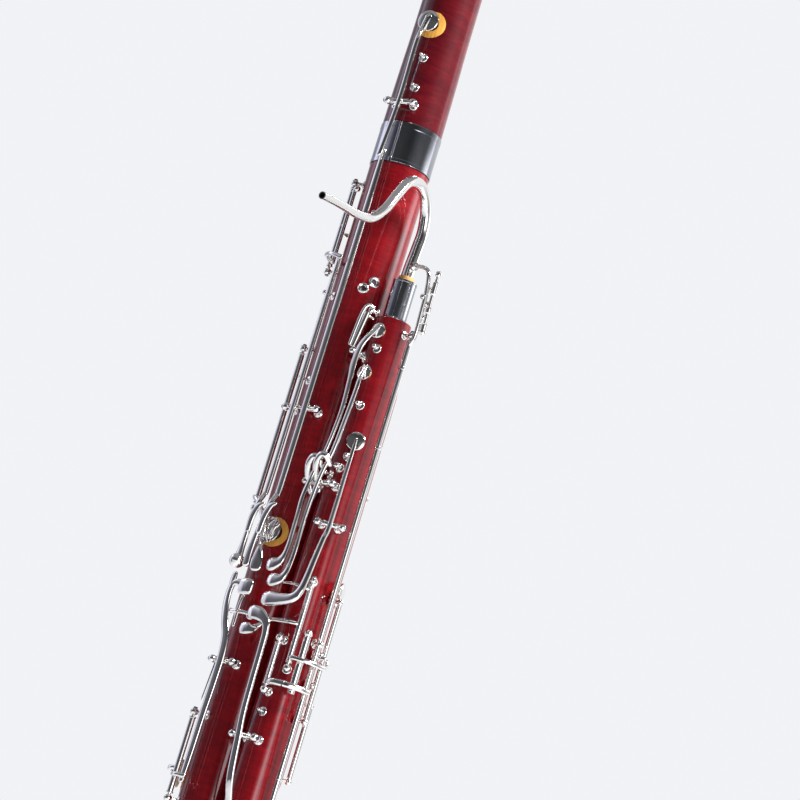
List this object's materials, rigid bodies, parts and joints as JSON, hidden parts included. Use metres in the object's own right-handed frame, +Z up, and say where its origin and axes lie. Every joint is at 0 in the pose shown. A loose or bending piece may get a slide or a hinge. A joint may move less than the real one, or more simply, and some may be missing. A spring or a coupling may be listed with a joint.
{
  "type": "bassoon",
  "caption": "Upright red-stained wooden bassoon with a boot, long joint, wing joint, bell, curved metal bocal and hinged silver-plated key work",
  "frame": {"origin": "centre of the flat underside of the boot's cap, midway between the two bores", "axes": "+Z up the bores to the bell, -Y towards the thumb keys, +Y towards the finger holes, -X towards the long joint"},
  "size_m": [0.1096, 0.2094, 1.345],
  "materials": {
    "wood": "deep red stain under gloss varnish",
    "silver_plate": "polished silver plate",
    "dark_nickel": "dark mirror polish",
    "cork": "waxed cork",
    "ivory_polymer": "polished",
    "brass": "plain drawn tube"
  },
  "bodies": {
    "instrument": {"bell_wood": "wood", "bell_ring": "ivory_polymer", "bell_ferrule": "dark_nickel", "long_joint_wood": "wood", "long_joint_top_cork": "cork", "long_joint_foot_cork": "cork", "wing_joint_wood": "wood", "wing_joint_foot_cork": "cork", "bocal_socket": "dark_nickel", "boot_wood": "wood", "boot_top_ferrule": "silver_plate", "boot_bottom_ferrule": "silver_plate", "boot_cap": "silver_plate", "u_tube": "brass", "u_tube_gasket": "cork", "hand_rest": "wood", "low_b_flat_pad_axle": "silver_plate", "long_lever_axle": "silver_plate", "low_b_pad_axle": "silver_plate", "low_c_axle": "silver_plate", "low_d_lever_axle": "silver_plate", "low_d_pad_axle": "silver_plate", "little_finger_axle": "silver_plate", "high_key_axle": "silver_plate", "high_a_axle": "silver_plate", "thumb_c_sharp_axle": "silver_plate", "whisper_touch_axle": "silver_plate", "whisper_axle": "silver_plate", "c_sharp_trill_axle": "silver_plate", "low_e_pancake_axle": "silver_plate", "g_axle": "silver_plate", "low_f_axle": "silver_plate", "thumb_b_flat_axle": "silver_plate", "thumb_f_sharp_axle": "silver_plate"},
    "low_b_flat_lever": {"low_b_flat_lever": "silver_plate"},
    "low_b_flat_pad_key": {"low_b_flat_pad_key": "silver_plate"},
    "low_b_lever": {"low_b_lever": "silver_plate"},
    "low_b_pad_key": {"low_b_pad_key": "silver_plate"},
    "low_c_key": {"low_c_key": "silver_plate"},
    "low_d_lever": {"low_d_lever": "silver_plate"},
    "low_d_pad_key": {"low_d_pad_key": "silver_plate"},
    "low_c_sharp_key": {"low_c_sharp_key": "silver_plate"},
    "low_e_flat_key": {"low_e_flat_key": "silver_plate"},
    "high_d_key": {"high_d_key": "silver_plate"},
    "high_c_key": {"high_c_key": "silver_plate"},
    "high_a_key": {"high_a_key": "silver_plate"},
    "thumb_c_sharp_key": {"thumb_c_sharp_key": "silver_plate"},
    "whisper_touch_key": {"whisper_touch_key": "silver_plate"},
    "whisper_key": {"whisper_key": "silver_plate"},
    "c_sharp_trill_key": {"c_sharp_trill_key": "silver_plate"},
    "low_e_pancake_key": {"low_e_pancake_key": "silver_plate"},
    "g_key": {"g_key": "silver_plate"},
    "low_f_key": {"low_f_key": "silver_plate"},
    "thumb_b_flat_key": {"thumb_b_flat_key": "silver_plate"},
    "thumb_f_sharp_key": {"thumb_f_sharp_key": "silver_plate"},
    "strap_ring": {"strap_ring": "silver_plate"},
    "body_lock_pin": {"body_lock_pin": "silver_plate"},
    "bocal": {"bocal": "silver_plate", "bocal_cork": "cork"}
  },
  "joints": [
    {"name": "low_b_flat_lever_hinge", "type": "hinge", "parent": "instrument", "child": "low_b_flat_lever", "pos_m": [-0.017, -0.0276, 0.817], "axis": [1, 0, 0], "range_deg": [0, 0.9], "stiffness_Nm_per_rad": 0.1, "springref_deg": -11.46},
    {"name": "low_b_flat_pad_key_hinge", "type": "hinge", "parent": "instrument", "child": "low_b_flat_pad_key", "pos_m": [-0.013, -0.02705, 1.056], "axis": [0.9799, 0.1994, 0], "range_deg": [-4, 0], "stiffness_Nm_per_rad": 0.1, "springref_deg": 11.46},
    {"name": "low_b_lever_hinge", "type": "hinge", "parent": "instrument", "child": "low_b_lever", "pos_m": [-0.017, -0.0276, 0.817], "axis": [1, 0, 0], "range_deg": [0, 1.85], "stiffness_Nm_per_rad": 0.1, "springref_deg": -11.46},
    {"name": "low_b_pad_key_hinge", "type": "hinge", "parent": "instrument", "child": "low_b_pad_key", "pos_m": [-0.044, -0.0146, 0.961], "axis": [0, 0, 1], "range_deg": [-9, 0], "stiffness_Nm_per_rad": 0.1, "springref_deg": 11.46},
    {"name": "low_c_key_hinge", "type": "hinge", "parent": "instrument", "child": "low_c_key", "pos_m": [-0.0445, -0.014, 0.805], "axis": [0, 0, 1], "range_deg": [0, 5.5], "stiffness_Nm_per_rad": 0.1, "springref_deg": -11.46},
    {"name": "low_d_lever_hinge", "type": "hinge", "parent": "instrument", "child": "low_d_lever", "pos_m": [-0.0181, -0.0272, 0.63], "axis": [1, 0, 0], "range_deg": [-2.35, 0], "stiffness_Nm_per_rad": 0.1, "springref_deg": 11.46},
    {"name": "low_d_pad_key_hinge", "type": "hinge", "parent": "instrument", "child": "low_d_pad_key", "pos_m": [-0.03155, -0.02455, 0.561], "axis": [0, 0, 1], "range_deg": [-12, 0], "stiffness_Nm_per_rad": 0.1, "springref_deg": 11.46},
    {"name": "low_c_sharp_key_hinge", "type": "hinge", "parent": "instrument", "child": "low_c_sharp_key", "pos_m": [-0.0185, 0.0274, 0.6], "axis": [1, 0, 0], "range_deg": [0, 3], "stiffness_Nm_per_rad": 0.1, "springref_deg": -11.46},
    {"name": "low_e_flat_key_hinge", "type": "hinge", "parent": "instrument", "child": "low_e_flat_key", "pos_m": [-0.0185, 0.0274, 0.6], "axis": [1, 0, 0], "range_deg": [0, 3], "stiffness_Nm_per_rad": 0.1, "springref_deg": -11.46},
    {"name": "high_d_key_hinge", "type": "hinge", "parent": "instrument", "child": "high_d_key", "pos_m": [0.0149, -0.0215, 0.766], "axis": [1, 0, 0], "range_deg": [0, 2.2], "stiffness_Nm_per_rad": 0.1, "springref_deg": -11.46},
    {"name": "high_c_key_hinge", "type": "hinge", "parent": "instrument", "child": "high_c_key", "pos_m": [0.0149, -0.0215, 0.766], "axis": [1, 0, 0], "range_deg": [0, 2.2], "stiffness_Nm_per_rad": 0.1, "springref_deg": -11.46},
    {"name": "high_a_key_hinge", "type": "hinge", "parent": "instrument", "child": "high_a_key", "pos_m": [0.03132, -0.01612, 0.738], "axis": [0.7826, 0.6225, 0], "range_deg": [0, 4], "stiffness_Nm_per_rad": 0.1, "springref_deg": -11.46},
    {"name": "thumb_c_sharp_key_hinge", "type": "hinge", "parent": "instrument", "child": "thumb_c_sharp_key", "pos_m": [0.0184, -0.024, 0.582], "axis": [1, 0, 0], "range_deg": [-3.5, 0], "stiffness_Nm_per_rad": 0.1, "springref_deg": 11.46},
    {"name": "whisper_touch_key_hinge", "type": "hinge", "parent": "instrument", "child": "whisper_touch_key", "pos_m": [0.03234, -0.0171, 0.6655], "axis": [0, 0, 1], "range_deg": [-4, 0], "stiffness_Nm_per_rad": 0.1, "springref_deg": 11.46},
    {"name": "whisper_key_hinge", "type": "hinge", "parent": "instrument", "child": "whisper_key", "pos_m": [0.039, 0, 0.678], "axis": [0, 0, 1], "range_deg": [-8, 0], "stiffness_Nm_per_rad": 0.1, "springref_deg": 11.46},
    {"name": "c_sharp_trill_key_hinge", "type": "hinge", "parent": "instrument", "child": "c_sharp_trill_key", "pos_m": [0.0223, -0.0217, 0.6345], "axis": [0, 0, 1], "range_deg": [-4, 0], "stiffness_Nm_per_rad": 0.1, "springref_deg": 11.46},
    {"name": "low_e_pancake_key_hinge", "type": "hinge", "parent": "instrument", "child": "low_e_pancake_key", "pos_m": [-0.041, -0.024, 0.296], "axis": [0, 0, 1], "range_deg": [0, 5], "stiffness_Nm_per_rad": 0.1, "springref_deg": -11.46},
    {"name": "g_key_hinge", "type": "hinge", "parent": "instrument", "child": "g_key", "pos_m": [0.041, 0.024, 0.256], "axis": [0, 0, 1], "range_deg": [0, 5], "stiffness_Nm_per_rad": 0.1, "springref_deg": -11.46},
    {"name": "low_f_key_hinge", "type": "hinge", "parent": "instrument", "child": "low_f_key", "pos_m": [-0.041, 0.024, 0.16], "axis": [0, 0, 1], "range_deg": [-5, 0], "stiffness_Nm_per_rad": 0.1, "springref_deg": 11.46},
    {"name": "thumb_b_flat_key_hinge", "type": "hinge", "parent": "instrument", "child": "thumb_b_flat_key", "pos_m": [0.01, -0.033, 0.352], "axis": [1, 0, 0], "range_deg": [0, 5], "stiffness_Nm_per_rad": 0.1, "springref_deg": -11.46},
    {"name": "thumb_f_sharp_key_hinge", "type": "hinge", "parent": "instrument", "child": "thumb_f_sharp_key", "pos_m": [0.014, -0.033, 0.236], "axis": [1, 0, 0], "range_deg": [-5, 0], "stiffness_Nm_per_rad": 0.1, "springref_deg": 11.46},
    {"name": "strap_ring_swing", "type": "hinge", "parent": "instrument", "child": "strap_ring", "pos_m": [0, -0.0315, 0.427], "axis": [1, 0, 0], "range_deg": [-90, 3]},
    {"name": "body_lock_slide", "type": "slide", "parent": "instrument", "child": "body_lock_pin", "axis": [0, 0, 1], "range_m": [-0.005, 0]},
    {"name": "bocal_turn", "type": "hinge", "parent": "instrument", "child": "bocal", "pos_m": [0.0185, 0, 0.915], "axis": [0, 0, 1], "range_deg": [-10, 10]}
  ],
  "couplings": [
    {"joint": "low_b_flat_pad_key_hinge", "follows": "low_b_flat_lever_hinge", "ratio": -4.35},
    {"joint": "low_b_pad_key_hinge", "follows": "low_b_lever_hinge", "ratio": -4.74},
    {"joint": "low_d_pad_key_hinge", "follows": "low_d_lever_hinge", "ratio": 5},
    {"joint": "whisper_key_hinge", "follows": "whisper_touch_key_hinge", "ratio": 2}
  ]
}
